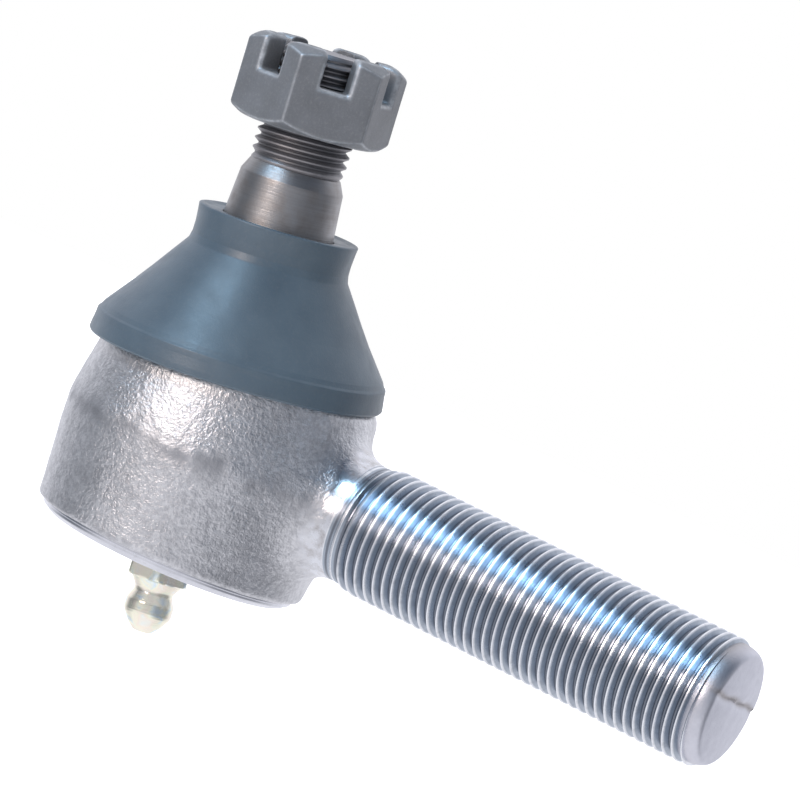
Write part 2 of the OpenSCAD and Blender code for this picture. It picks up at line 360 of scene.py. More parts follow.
def sculpted(node, matrix, voxel, field, reach, cut_x=None):
    """The CAD node remeshed evenly in the frame of matrix. Each point is then drawn onto the smooth
    surface field = 0, except those that lie deeper than reach inside it. cut_x drops what lies beyond
    that X. Returns the mesh and its points, in mm."""
    mesh = frame["nodes"][node].data.copy()
    mesh.transform(matrix.inverted())
    mesh.transform(Matrix.Scale(1 / MM, 4))
    if cut_x is not None:
        cut = bmesh.new()
        cut.from_mesh(mesh)
        bmesh.ops.remove_doubles(cut, verts=cut.verts, dist=1e-4)
        cut_off(cut, (cut_x, 0, 0), (1, 0, 0))
        close_holes(cut)
        cut.to_mesh(mesh)
        cut.free()
    obj = link(node + "_remesh", mesh)
    remesh = obj.modifiers.new("remesh", "REMESH")
    remesh.mode = "VOXEL"
    remesh.voxel_size = voxel
    even = bpy.data.meshes.new_from_object(obj.evaluated_get(bpy.context.evaluated_depsgraph_get()))
    bpy.data.objects.remove(obj)
    points = np.empty(len(even.vertices) * 3)
    even.vertices.foreach_get("co", points)
    points = points.reshape(-1, 3)
    rounds, flattest, longest = 5, 0.05, 0.5
    for _ in range(rounds):
        value = field(points)
        slope = gradient(field, points)
        steep = np.maximum((slope ** 2).sum(1), flattest)
        move = -(value / steep)[:, None] * slope
        move[value < -reach] = 0
        points = points + np.clip(move, -longest, longest)
    return even, points


def set_points(mesh, points):
    """Moves a mesh's points to these, given in millimetres."""
    mesh.vertices.foreach_set("co", (points * MM).ravel())
    mesh.update()


def set_attribute(mesh, name, values):
    attribute = mesh.attributes.new(name, "FLOAT", "POINT")
    attribute.data.foreach_set("value", values.astype(np.float32))


def lumps(points, size, seed=0.0, octaves=2):
    """Smooth noise of about -1 to 1 at each point, with features about size millimetres across."""
    shift = Vector((seed, seed * 1.7, -seed))
    return np.array([noise.fractal(Vector(p) / size + shift, 1.0, 2.0, octaves) for p in points])


# ---- Materials -------------------------------------------------------------------------------
class Nodes:
    """Adds nodes to a tree. Inputs are numbers, colours or other nodes' outputs."""

    def __init__(self, tree):
        self.tree = tree

    def plug(self, socket, value):
        if isinstance(value, bpy.types.NodeSocket):
            self.tree.links.new(value, socket)
        else:
            socket.default_value = value

    def node(self, kind, inputs=None, **settings):
        made = self.tree.nodes.new(kind)
        for key, value in settings.items():
            setattr(made, key, value)
        for key, value in (inputs or {}).items():
            self.plug(made.inputs[key], value)
        return made

    def math(self, operation, a, b=0.0, c=0.0):
        return self.node("ShaderNodeMath", {0: a, 1: b, 2: c}, operation=operation).outputs[0]

    def ramp(self, value, *stops):
        """Colours or greys blended between (value, colour) stops."""
        made = self.node("ShaderNodeValToRGB", {"Fac": value})
        elements = made.color_ramp.elements
        while len(elements) < len(stops):
            elements.new(0.5)
        for element, (position, colour) in zip(elements, stops):
            element.position = position
            element.color = (*colour, 1) if isinstance(colour, tuple) else (colour, colour, colour, 1)
        return made.outputs["Color"]

    def mix(self, share, a, b):
        """Colour a where share is 0 and colour b where it is 1."""
        made = self.node("ShaderNodeMix", data_type="RGBA")
        self.plug(made.inputs["Factor"], share)
        self.plug(made.inputs["A"], (*a, 1) if isinstance(a, tuple) else a)
        self.plug(made.inputs["B"], (*b, 1) if isinstance(b, tuple) else b)
        return made.outputs["Result"]


class Shader(Nodes):
    """Builds one node material. Coordinates are the object's own, in millimetres."""

    def __init__(self, name):
        self.material = bpy.data.materials.new(name)
        self.material.use_nodes = True
        super().__init__(self.material.node_tree)
        self.bsdf = self.tree.nodes["Principled BSDF"]
        where = self.node("ShaderNodeTexCoord").outputs["Object"]
        to_mm = self.node("ShaderNodeMapping", {"Vector": where, "Scale": (1 / MM, 1 / MM, 1 / MM)})
        self.coords = to_mm.outputs[0]

    def noise(self, size, detail=2.0, roughness=0.5, stretch=None, distortion=0.0):
        """Noise with features about size millimetres across; stretch divides that along each axis."""
        vector = self.coords
        if stretch:
            vector = self.node("ShaderNodeMapping", {"Vector": vector, "Scale": stretch}).outputs[0]
        return self.node("ShaderNodeTexNoise", {"Vector": vector, "Scale": 1 / size, "Detail": detail,
                                                "Roughness": roughness, "Distortion": distortion}).outputs[0]

    def attribute(self, name):
        """A value that the mesh gives for each of its points."""
        return self.node("ShaderNodeAttribute", attribute_name=name).outputs["Fac"]

    def bump(self, height, distance):
        """A normal from a height of 0 to 1 that stands for distance millimetres."""
        return self.node("ShaderNodeBump", {"Height": height, "Distance": distance * MM,
                                            "Strength": 1.0}).outputs[0]

    def finish(self, **inputs):
        """Sets the surface's inputs, with _ for each space in their names."""
        for key, value in inputs.items():
            value = (*value, 1) if isinstance(value, tuple) and len(value) == 3 else value
            self.plug(self.bsdf.inputs[key.replace("_", " ")], value)
        return self.material


def forged_zinc():
    """Bright zinc on a shot-blasted forging: dull along the trimmed parting line, smooth at the neck."""
    s = Shader("forged_zinc")
    rough = s.attribute("rough")
    trim = s.attribute("trim")
    grain = s.noise(0.52, 3.0, 0.55)
    fine = s.noise(0.25, 2.0, 0.6)
    height = s.math("MULTIPLY", s.math("ADD", grain, s.math("MULTIPLY", fine, 0.4)), rough)
    height = s.math("MULTIPLY", height, s.math("MULTIPLY_ADD", trim, -0.6, 1.0))
    tone = s.ramp(s.noise(6.0, 3.0, 0.6), (0.35, (0.56, 0.565, 0.59)), (0.65, (0.76, 0.765, 0.795)))
    fleck = s.ramp(s.noise(0.7, 3.0, 0.7), (0.42, (0.50, 0.505, 0.53)), (0.6, (0.84, 0.845, 0.87)))
    colour = s.mix(0.45, tone, fleck)
    colour = s.mix(trim, colour, (0.42, 0.425, 0.45))
    stain = s.ramp(s.noise(1.4, 4.0, 0.65), (0.45, (0.76, 0.78, 0.83)), (0.7, (0.50, 0.49, 0.50)))
    bright = s.mix(rough, stain, colour)
    gloss = s.math("MULTIPLY_ADD", rough, 0.15, 0.23)
    gloss = s.math("MULTIPLY_ADD", trim, 0.12, gloss)
    return s.finish(Base_Color=bright, Metallic=1.0, Roughness=gloss, Normal=s.bump(height, 0.15))


def turned_zinc():
    """Bright zinc on turned and rolled surfaces, with faint lathe lines."""
    s = Shader("turned_zinc")
    lines = s.noise(1.0, 2.0, 0.5, stretch=(0.15, 0.15, 9.0))
    cloud = s.ramp(s.noise(4.0, 3.0, 0.6), (0.3, (0.66, 0.67, 0.72)), (0.7, (0.76, 0.77, 0.82)))
    stain = s.noise(0.9, 4.0, 0.65)
    colour = s.mix(s.ramp(stain, (0.55, 0.0), (0.75, 0.35)), cloud, (0.50, 0.50, 0.53))
    gloss = s.ramp(stain, (0.3, 0.17), (0.8, 0.30))
    return s.finish(Base_Color=colour, Metallic=1.0, Roughness=gloss, Normal=s.bump(lines, 0.007))


def thread_metal(name, crest, flank, root, gloss):
    """Metal on a thread, coloured by its depth: bright crests, partly wear and partly painted highlight;
    darker flanks, painted shade; and darkest roots, painted shade as well as dirt.
    """
    s = Shader(name)
    depth = s.attribute("depth")
    stain = s.noise(1.6, 4.0, 0.65)
    # Painted light by depth: crests lit up as a painted highlight over their wear, flanks darkened and roots
    # darkest as painted shade.
    colour = s.ramp(depth, (0.0, crest), (0.1, crest), (0.28, flank), (0.75, flank), (1.0, root))
    colour = s.mix(s.ramp(stain, (0.5, 0.0), (0.8, 0.4)), colour, root)
    rough = s.math("MULTIPLY_ADD", s.ramp(stain, (0.3, 0.0), (0.8, 1.0)), 0.12, gloss)
    return s.finish(Base_Color=colour, Metallic=1.0, Roughness=rough,
                    Normal=s.bump(s.noise(0.3, 3.0, 0.6), 0.012))


def cropped_zinc():
    """Satin zinc on the shank's cropped end, browned along its crease and darkened around its rim."""
    s = Shader("cropped_zinc")
    crease = s.attribute("crease")
    pale = s.ramp(s.noise(1.5, 3.0, 0.6), (0.3, (0.66, 0.67, 0.74)), (0.7, (0.74, 0.75, 0.82)))
    colour = s.mix(crease, pale, (0.30, 0.27, 0.25))
    fine = s.noise(0.25, 3.0, 0.6)
    return s.finish(Base_Color=colour, Metallic=1.0, Roughness=0.42, Normal=s.bump(fine, 0.03))


def ground_steel():
    """Bare ground steel with fine rings and brownish handling stains."""
    s = Shader("ground_steel")
    rings = s.noise(1.0, 3.0, 0.6, stretch=(0.1, 0.1, 6.0))
    stain = s.noise(2.2, 4.0, 0.6)
    colour = s.ramp(stain, (0.35, (0.37, 0.37, 0.385)), (0.55, (0.34, 0.325, 0.325)),
                    (0.75, (0.27, 0.24, 0.23)))
    tone = s.ramp(rings, (0.35, 0.29), (0.65, 0.42))
    colour = s.mix(0.3, colour, tone)
    gloss = s.ramp(stain, (0.3, 0.36), (0.8, 0.48))
    return s.finish(Base_Color=colour, Metallic=1.0, Roughness=gloss, Normal=s.bump(rings, 0.02))


def phosphate():
    """Dull grey phosphate on the nut, worn brighter along its edges."""
    s = Shader("phosphate")
    edge = s.attribute("edge")
    grain = s.noise(0.35, 4.0, 0.65)
    cloud = s.noise(3.5, 3.0, 0.6)
    base = s.ramp(cloud, (0.3, (0.155, 0.164, 0.180)), (0.7, (0.200, 0.212, 0.232)))
    fleck = s.ramp(grain, (0.5, (0.16, 0.16, 0.165)), (0.72, (0.30, 0.29, 0.28)))
    colour = s.mix(0.3, base, fleck)
    wear = s.math("MULTIPLY", edge, s.ramp(s.noise(1.6, 3.0, 0.7), (0.35, 0.12), (0.65, 0.55)))
    colour = s.mix(wear, colour, (0.60, 0.63, 0.67))
    gloss = s.math("MULTIPLY_ADD", wear, -0.22, 0.52)
    return s.finish(Base_Color=colour, Metallic=0.55, Roughness=gloss, Normal=s.bump(grain, 0.035))


def boot_rubber():
    """Satin blue-grey moulded rubber."""
    s = Shader("boot_rubber")
    cloud = s.ramp(s.noise(7.0, 3.0, 0.55), (0.3, (0.046, 0.070, 0.094)), (0.7, (0.062, 0.090, 0.116)))
    dust = s.noise(0.4, 4.0, 0.7)
    colour = s.mix(s.ramp(dust, (0.5, 0.0), (0.8, 0.35)), cloud, (0.10, 0.115, 0.125))
    gloss = s.ramp(s.noise(2.5, 3.0, 0.6), (0.3, 0.34), (0.7, 0.45))
    return s.finish(Base_Color=colour, Roughness=gloss, Specular_IOR_Level=0.6,
                    Normal=s.bump(s.noise(0.3, 3.0, 0.6), 0.02))


def yellow_zinc():
    """Yellow passivated zinc with faint pink and blue bands of colour."""
    s = Shader("yellow_zinc")
    bands = s.noise(2.0, 2.0, 0.5, distortion=0.6)
    colour = s.ramp(bands, (0.30, (0.72, 0.84, 0.93)), (0.45, (0.96, 0.95, 0.78)),
                    (0.58, (0.96, 0.88, 0.76)), (0.72, (0.90, 0.94, 0.90)))
    lines = s.noise(1.0, 2.0, 0.5, stretch=(0.2, 0.2, 7.0))
    return s.finish(Base_Color=colour, Metallic=0.93, Roughness=s.ramp(bands, (0.3, 0.18), (0.8, 0.26)),
                    Normal=s.bump(lines, 0.015))


def plain_metal(name, dark, light, roughness):
    """Mottled metal for the pieces inside the socket."""
    s = Shader(name)
    cloud = s.noise(1.2, 4.0, 0.6)
    return s.finish(Base_Color=s.ramp(cloud, (0.3, dark), (0.7, light)), Metallic=1.0,
                    Roughness=s.ramp(cloud, (0.3, roughness), (0.7, roughness + 0.12)),
                    Normal=s.bump(s.noise(0.2, 3.0, 0.6), 0.01))


def seal_rubber():
    """Black rubber of the ring around the cover."""
    s = Shader("seal_rubber")
    grain = s.noise(0.5, 3.0, 0.6)
    return s.finish(Base_Color=s.ramp(grain, (0.3, (0.02, 0.02, 0.021)), (0.7, (0.035, 0.035, 0.036))),
                    Roughness=0.6, Normal=s.bump(grain, 0.02))


MATERIALS = {
    "forged": forged_zinc(),
    "turned": turned_zinc(),
    "cropped": cropped_zinc(),
    "ground": ground_steel(),
    # The zinc thread's blue-grey flanks are a painted reflection of the dark blue room, and its near-white
    # crests are partly a painted highlight.
    "zinc_thread": thread_metal("zinc_thread", crest=(0.88, 0.90, 0.94), flank=(0.42, 0.47, 0.54),
                                root=(0.20, 0.22, 0.26), gloss=0.25),
    "steel_thread": thread_metal("steel_thread", crest=(0.40, 0.39, 0.40), flank=(0.30, 0.295, 0.31),
                                 root=(0.20, 0.20, 0.21), gloss=0.44),
    "phosphate": phosphate(),
    "boot": boot_rubber(),
    "yellow": yellow_zinc(),
    "seal": seal_rubber(),
    "bearing": plain_metal("bearing_steel", (0.20, 0.20, 0.21), (0.30, 0.30, 0.31), 0.38),
    "spring": plain_metal("spring_steel", (0.42, 0.43, 0.45), (0.52, 0.53, 0.55), 0.25),
    "cover": plain_metal("cover_zinc", (0.62, 0.63, 0.67), (0.74, 0.75, 0.79), 0.22)}


def piece(name, mesh, material, body, nodes=(), matrix=None, sharp=40):
    """Makes one visible piece that rides on a body and may stand for CAD nodes."""
    obj = new_object(name, mesh, matrix, sharp)
    mesh.materials.clear()
    mesh.materials.append(MATERIALS[material])
    if body is not None:
        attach(obj, body)
    if nodes:
        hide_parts(*nodes)
    return obj


# ---- Socket ----------------------------------------------------------------------------------
def side_r(z):
    """Radius of the forged side: a soft ridge at the parting plane, with its draft both ways."""
    above = z - PARTING_Z
    draft = np.where(above > 0, DRAFT_UP, DRAFT_DOWN)
    return RIDGE_R - draft * (np.sqrt(above ** 2 + RIDGE_SOFT) - 0.8)


def socket_field(p):
    """Signed distance to the forging: a drafted round body, with the neck of the shank along X."""
    draft_cosine, neck_from = 0.99, 5
    rho = np.hypot(p[:, 0], p[:, 1])
    side = (rho - side_r(p[:, 2])) * draft_cosine
    body = smooth_max(side, p[:, 2] - SOCKET_TOP, TOP_FILLET)
    body = smooth_max(body, SOCKET_LOW - p[:, 2], LOW_FILLET)
    neck = np.hypot(p[:, 1], p[:, 2]) - SHANK_NECK_R
    neck = np.maximum(neck, neck_from - p[:, 0])
    return smooth_min(body, neck, NECK_FILLET)


def bell(distance, width):
    """1 at no distance, fading to nothing over about twice the width."""
    return np.exp(-(distance / width) ** 2)


def make_socket():
    """The forging: shot-blasted skin up to a wandering edge at the neck, and a parting line that is
    trimmed flat in patches and stands up in others."""
    voxel, reach, smooth_from, smooth_over = 0.36, 1.3, 19.6, 3.0
    mesh, points = sculpted("socket_forging", Matrix(), voxel, socket_field, reach, cut_x=NECK_END + 0.6)
    on_skin = np.abs(socket_field(points)) < 0.05
    wander = lumps(points, 1.7, seed=3.0, octaves=3)
    smooth = np.clip((points[:, 0] + 1.5 * wander - smooth_from) / smooth_over, 0, 1) * 0.85
    rough = np.where(on_skin, 1 - smooth ** 2 * (3 - 2 * smooth), 0.0)
    patch = lumps(points, 4.5, seed=6.0, octaves=3)
    line = points[:, 2] - PARTING_Z - 1.2 * lumps(points * (1, 1, 0.2), 9.0, seed=8.0)
    shear = np.clip(0.55 + 1.6 * patch, 0, 1) * rough
    trim = bell(line, 1.5 + 0.9 * patch) * shear
    normal = gradient(socket_field, points)
    normal /= np.maximum(np.linalg.norm(normal, axis=1), 1e-6)[:, None]
    depth = 0.022 * lumps(points, 0.9, seed=1.0) + 0.06 * lumps(points, 3.5, seed=2.0)
    depth += 0.09 * bell(line, 0.6) * np.clip(0.5 + patch, 0, 1) - 0.09 * trim
    points += normal * (depth * rough)[:, None]
    set_points(mesh, points)
    set_attribute(mesh, "rough", rough)
    set_attribute(mesh, "trim", trim)
    piece("forged_socket", mesh, "forged", "socket", ["socket_forging"], sharp=60)


def make_rolled_lip():
    """The machined lip below the forged side, rolled inwards over the cover."""
    corners = [(COVER_OPENING_R, COVER_Z, 0.1), (COVER_OPENING_R + 0.2, LIP_LOW + 0.1, 0.2),
               (COVER_OPENING_R + 0.9, LIP_LOW, 0.3), (LIP_R - 1.2, LIP_LOW, 0.7),
               (LIP_R - 0.08, LIP_LOW + 0.7, 0.3), (LIP_R - 0.04, LIP_TOP - 0.1, 0.1),
               (LIP_R + 0.1, LIP_TOP, 0.08), (LIP_R + 0.1, SOCKET_LOW + 0.4),
               (COVER_SEAT_R, SOCKET_LOW + 0.4), (COVER_SEAT_R, COVER_Z)]
    piece("rolled_lip", revolve("rolled_lip", corners, 192, 0.4), "turned", "socket")


def shank_radius(z, depth):
    """The shank's surface: the thread, faded in after the neck and cut back by the end's chamfer."""
    root_below_neck, chamfer, chamfer_slope = 0.2, 0.1, 0.35
    fade = min(max((z - THREAD_FROM) / (THREAD_FULL - THREAD_FROM), 0), 1)
    crest = SHANK_NECK_R + (SHANK_R - SHANK_NECK_R) * fade
    root = SHANK_NECK_R - root_below_neck * fade
    r = crest - (crest - root) * depth
    return min(r, SHANK_R - chamfer - (z - THREAD_END) * chamfer_slope)


def shank_end_x(r, y, z):
    """The cropped end's face: a low dome of two lobes that meet in a crease above the middle.
    Returns the face's place along the shank and the height above the crease."""
    dome_h, dome_r, upper_lobe, crease_deep, crease_w = 0.4, 7.3, 0.2, 0.28, 0.8
    above = z + CREASE_TILT * y - CREASE_Z
    dome = SHANK_END + dome_h - dome_h * (r / dome_r) ** 2 + upper_lobe * (above > 0)
    off = above + 0.12 * math.sin(y * 1.1)
    return dome - crease_deep * bell(off, crease_w) * (1 - (r / 8.2) ** 4), off


# Turns what is made along Z to lie along the shank.
ALONG_SHANK = Matrix.Rotation(math.radians(90), 4, "Y")
SHANK_SEGMENTS = 144


def make_shank():
    """The shank's thread, which runs out into the neck."""
    mesh = threaded_rod("threaded_shank", shank_radius, SHANK_PITCH, -1, NECK_END, THREAD_END + 0.2,
                        CREST_X, SHANK_SEGMENTS)
    piece("threaded_shank", mesh, "zinc_thread", "socket", matrix=ALONG_SHANK, sharp=35)


def make_shank_end():
    """The plain end past the thread, as rings of (radius, height, share of the way to the face)."""
    rim = SHANK_R - 0.55
    rings = [(7.6, THREAD_END - 1.2, 0), (rim, THREAD_END - 0.6, 0), (rim, THREAD_END + 0.15, 0)]
    rings += [(rim - 0.9 * (1 - math.cos(a)), THREAD_END + 0.15, math.sin(a))
              for a in np.linspace(0.2, math.pi / 2, 7)]
    rings += [(r, THREAD_END, 1) for r in np.linspace(rim - 1.3, 0.3, 18)]
    points = []
    crease = []
    for r, low, rise in rings:
        for j in range(SHANK_SEGMENTS):
            a = TAU * j / SHANK_SEGMENTS
            down, y = r * math.cos(a), r * math.sin(a)
            face, off = shank_end_x(r, y, -down)
            points.append((down, y, low + (face - low) * rise))
            # The plain band and chamfer are darkened brown, to 0.6 above the crease and to 0.15 below it.
            rim_darkening = 0.6 if off > 0 else 0.15
            crease.append(max(0.7 * bell(off, 0.4) * rise, rim_darkening * (1 - rise)))
    mesh = bpy.data.meshes.new("shank_end")
    mesh.from_pydata((np.array(points) * MM).tolist(), [], ring_faces(len(rings), SHANK_SEGMENTS))
    set_attribute(mesh, "crease", np.array(crease))
    fix = bmesh.new()
    fix.from_mesh(mesh)
    bmesh.ops.recalc_face_normals(fix, faces=fix.faces)
    fix.to_mesh(mesh)
    fix.free()
    piece("shank_end", mesh, "cropped", "socket", matrix=ALONG_SHANK, sharp=50)


# ---- Stud and nut ----------------------------------------------------------------------------
def stud_radius(z, depth):
    """The stud's thread, run out to nothing over the cone and chamfered at the stud's end."""
    start_r, chamfer_from, chamfer_slope = 6.08, STUD_TOP - 1.4, 0.7
    start = min(max((z - CONE_TOP + 0.2) / 2, 0), 1)
    chamfer = STUD_R - max(0, z - chamfer_from) * chamfer_slope
    return min(start_r + (STUD_R - start_r) * start - (0.15 + 0.5 * start) * depth, chamfer)


def make_stud(matrix):
    """The ball, neck and taper as one turned piece, and the thread, which sits on the core above it."""
    flat_r = math.sqrt(BALL_R ** 2 - BALL_FLAT ** 2)
    low = math.asin(-BALL_FLAT / BALL_R)
    high = math.acos(STUD_NECK_R / BALL_R) - 0.02
    ball = [(BALL_R * math.cos(a), BALL_R * math.sin(a)) for a in np.linspace(low, high, 40)]
    corners = [(0, -BALL_FLAT), (flat_r, -BALL_FLAT)] + ball[1:] + [
        (STUD_NECK_R, ball[-1][1] + 0.4, 0.4), (STUD_NECK_R, TAPER_LOW - 3, 1.5),
        (taper_r(TAPER_LOW), TAPER_LOW - 0.2, 0.8), (TAPER_R, TAPER_TOP, 0.5), (CONE_TOP_R, CONE_TOP, 0.3),
        (THREAD_CORE_R, CONE_TOP + 0.25, 0.2), (THREAD_CORE_R - 0.05, CONE_TOP + 1), (0, CONE_TOP + 1)]
    piece("ball_and_taper", revolve("ball_and_taper", corners, 160, 0.7), "ground", "stud",
          ["ball_stud"], matrix)
    mesh = threaded_rod("stud_thread", stud_radius, STUD_PITCH, 1, CONE_TOP - 0.35, STUD_TOP,
                        CONE_TOP + 0.6, 96)
    right_through = STUD_R * 2.4
    mesh = drilled(mesh, COTTER_R, right_through, (0, 0, COTTER_Z), COTTER_TURN)
    piece("stud_thread", mesh, "steel_thread", "stud", matrix=matrix, sharp=35)


def nut_planes(p, k):
    """Signed distance to the slotted nut, its edges rounded by k; k near 0 leaves them sharp."""
    rho = np.hypot(p[:, 0], p[:, 1])
    solid = np.full(len(p), -1e3)
    for i in range(6):
        a = NUT_CORNER + math.radians(30 + 60 * i)
        solid = smooth_max(solid, p[:, 0] * math.cos(a) + p[:, 1] * math.sin(a) - NUT_AF / 2, k)
    tilt = math.radians(30)
    for sign, face_z, face_r in ((1, NUT_TOP, NUT_AF / 2 - NUT_TOP_CHAMFER),
                                 (-1, -NUT_LOW, NUT_AF / 2 - NUT_LOW_CHAMFER)):
        height = sign * p[:, 2] - face_z
        solid = smooth_max(solid, height, k)
        solid = smooth_max(solid, (rho - face_r) * math.sin(tilt) + height * math.cos(tilt), k * 1.3)
    for i in range(3):
        a = NUT_CORNER + math.radians(30 + 60 * i)
        side = np.abs(-p[:, 0] * math.sin(a) + p[:, 1] * math.cos(a)) - SLOT_W / 2 + SLOT_ROUNDING
        slot = smooth_max(side, SLOT_LOW - p[:, 2], 0.5)
        solid = smooth_max(solid, -slot, k * 3)
    bore = NUT_BORE_R - rho
    countersink = STUD_R + NUT_COUNTERSINK - rho - (p[:, 2] - NUT_LOW)
    return smooth_max(smooth_max(solid, bore, k * 0.5), np.minimum(countersink, 2), k * 0.5)


def rounded_nut(p):
    """The nut as it is shown, with its edges broken."""
    return nut_planes(p, 0.3)


def make_nut(matrix):
    """The nut with rounded edges. How far a point lies inside the sharp nut says how near an edge it is."""
    voxel, reach, edge_depth = 0.17, 0.9, 0.09
    mesh, points = sculpted("slotted_nut", matrix, voxel, rounded_nut, reach)
    edge = np.clip(-nut_planes(points, 0.001) / edge_depth, 0, 1) ** 1.5
    points += gradient(rounded_nut, points) * (0.012 * lumps(points, 1.5, seed=5.0))[:, None]
    set_points(mesh, points)
    set_attribute(mesh, "edge", edge)
    piece("slotted_nut_body", mesh, "phosphate", "stud", ["slotted_nut"], matrix, 60)


# ---- Boot ------------------------------------------------------------------------------------
def skirt_r(z):
    """Outer radius of the boot's skirt at a height."""
    return float(np.interp(z, [p[1] for p in SKIRT], [p[0] for p in SKIRT]))


def wavy(points):
    """Slight unevenness of moulded rubber."""
    away = np.hypot(points[:, 0], points[:, 1])
    scale = 1 + 0.05 * lumps(points, 9.0, seed=4.0, octaves=1) / np.maximum(away, 1)
    return points * np.stack([scale, scale, np.ones(len(points))], axis=1)


def make_boot(matrix):
    """The boot in two pieces that meet at a seam."""
    inner = BOOT_WALL / math.cos(BOOT_SLOPE)
    seam = [(skirt_r(BOOT_SEAM), BOOT_SEAM), (skirt_r(BOOT_SEAM) - inner, BOOT_SEAM)]
    lip = [(18.95, BOOT_LOW, 0.1), (19.85, BOOT_LOW, 0.12), (20.05, BOOT_LOW + 0.3, 0.15),
           (19.98, 12.1, 0.5), (19.78, 13.4, 0.3), (19.72, 14.2, 0.3)]
    lip_inside = [(17.35, 14.7, 0.5), (18.3, 13.4, 0.5)]
    skirt_low = [(r, z, 0.6) for r, z in SKIRT if z < BOOT_SEAM]
    lower = piece("boot_skirt", revolve("boot_skirt", lip + skirt_low + seam + lip_inside, 192, 0.5, wavy),
                  "boot", None, ["dust_boot"], matrix)
    skirt_high = [(r, z, 1.2) for r, z in SKIRT if z > BOOT_SEAM]
    collar = [(10.9, 26.3, 0.9), (10.68, 27.3, 0.8), (10.66, 28.6, 1.0), (10.78, 30.2, 0.8),
              (10.9, BOOT_TOP - 0.1, 0.22), (10.4, BOOT_TOP, 0.3), (9.6, BOOT_TOP - 0.25, 0.3)]
    collar_inside = [(taper_r(BOOT_TOP) + 0.15, BOOT_TOP - 0.35, 0.2), (taper_r(27) + 0.12, 26.9, 0.3),
                     (skirt_r(24.9) - inner, 24.6, 0.8)]
    high = [seam[1], seam[0]] + skirt_high + collar + collar_inside
    upper = piece("boot_collar", revolve("boot_collar", high, 192, 0.5, wavy), "boot", None,
                  matrix=matrix)
    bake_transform(lower)
    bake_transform(upper)


# ---- Grease fitting --------------------------------------------------------------------------
def make_fitting(matrix):
    """The turned head and waist of the fitting, and its hexagon against the cover's boss."""
    z = FITTING_LOW
    head = [(0.5, z + 0.9), (0.6, z + 0.3, 0.1), (0.9, z + 0.02, 0.15), (1.3, z + 0.1, 0.3),
            (HEAD_R - 0.95, z + 1.1, 0.6), (HEAD_R - 0.15, z + 2.35, 0.25), (HEAD_R, z + 2.75, 0.1),
            (HEAD_R, z + 4.05, 0.7), (WAIST_R, z + 5.35, 0.7), (WAIST_R, z + 5.75, 0.8), (3.5, z + 7.1, 0.2),
            (3.5, BOSS_Z - 1), (0.5, BOSS_Z - 1)]
    piece("fitting_head", revolve("fitting_head", head, 96, 0.35), "yellow", "socket",
          ["grease_fitting"], matrix)
    segments, sharpness, uncut = 144, 40, 9
    rings = [(2.6, 3.9), (2.45, 4.3), (2.2, 4.75), (1.2, uncut), (0.4, uncut), (0.12, 4.45), (0.02, 4.2)]
    points = []
    for below, chamfer in rings:
        for j in range(segments):
            a = TAU * j / segments
            towards_flat = [a - FITTING_TURN - math.radians(30 + 60 * i) for i in range(6)]
            reach = sum(max(math.cos(b), 0) ** sharpness for b in towards_flat)
            r = min(FITTING_AF / 2 / reach ** (1 / sharpness), chamfer)
            points.append((r * math.cos(a), r * math.sin(a), BOSS_Z - below))
    mesh = grid_mesh("fitting_hexagon", points, ring_faces(len(rings), segments))
    piece("fitting_hexagon", mesh, "yellow", "socket", matrix=matrix, sharp=35)


# ---- Springs inside --------------------------------------------------------------------------
def make_disc_spring():
    """Disc spring under the lower bearing, its inner edge against the bearing."""
    high, low, rim_r = BEARING_LOW - 0.02, COVER_HIGH + 0.02, 13.8
    corners = [(DISC_HOLE_R, high - DISC_T, 0.15), (DISC_HOLE_R, high, 0.1), (DISC_HOLE_R + 0.8, high, 0.1),
               (rim_r, low + DISC_T, 0.15), (rim_r, low, 0.1), (rim_r - 0.8, low, 0.1)]
    spring = piece("disc_spring", revolve("disc_spring", corners, 128, 0.5), "spring", None,
                   ["preload_spring"])
    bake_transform(spring)


def make_check_spring(matrix):
    """Coil spring behind the fitting's check ball."""
    low, high, coil_r, wire_r = CHECK_Z + 1.05, BOSS_Z - 0.65, 0.85, 0.15
    turns, per_turn, sides = 6, 24, 10
    steps = turns * per_turn
    points = []
    for i in range(steps + 1):
        a = TAU * i / per_turn
        z = low + wire_r + (high - low - 2 * wire_r) * i / steps
        for j in range(sides):
            b = TAU * j / sides
            r = coil_r + wire_r * math.cos(b)
            points.append((r * math.cos(a), r * math.sin(a), z + wire_r * math.sin(b)))
    mesh = grid_mesh("check_spring", points, ring_faces(steps + 1, sides))
    spring = piece("check_spring", mesh, "spring", None, ["fitting_spring"], matrix)
    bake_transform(spring)


# ---- Studio ----------------------------------------------------------------------------------
CAMERA_AT = Vector((248.7, -491.3, 60.1)) * MM
CAMERA_AIM = Vector((17.76, 9.59, 15.98)) * MM
CAMERA_ROLL = 23.66
CAMERA_LENS = 188.69
CAMERA_SENSOR = 36
FLOOR_Z = -0.1
FLOOR_R = 1.5


def make_camera():
    """A long lens on the side that shows stud, socket and shank at once."""
    data = bpy.data.cameras.new("camera")
    data.lens = CAMERA_LENS
    data.sensor_width = CAMERA_SENSOR
    data.clip_start = 0.01
    camera = link("camera", data)
    turn = (CAMERA_AIM - CAMERA_AT).to_track_quat("-Z", "Y").to_matrix().to_4x4()
    roll = Matrix.Rotation(math.radians(CAMERA_ROLL), 4, "Z")
    camera.matrix_world = Matrix.Translation(CAMERA_AT) @ turn @ roll
    bpy.context.scene.camera = camera


def towards(azimuth, elevation):
    """Unit vector with that bearing from +X and that height, in degrees."""
    a, e = math.radians(azimuth), math.radians(elevation)
    return Vector((math.cos(e) * math.cos(a), math.cos(e) * math.sin(a), math.sin(e)))


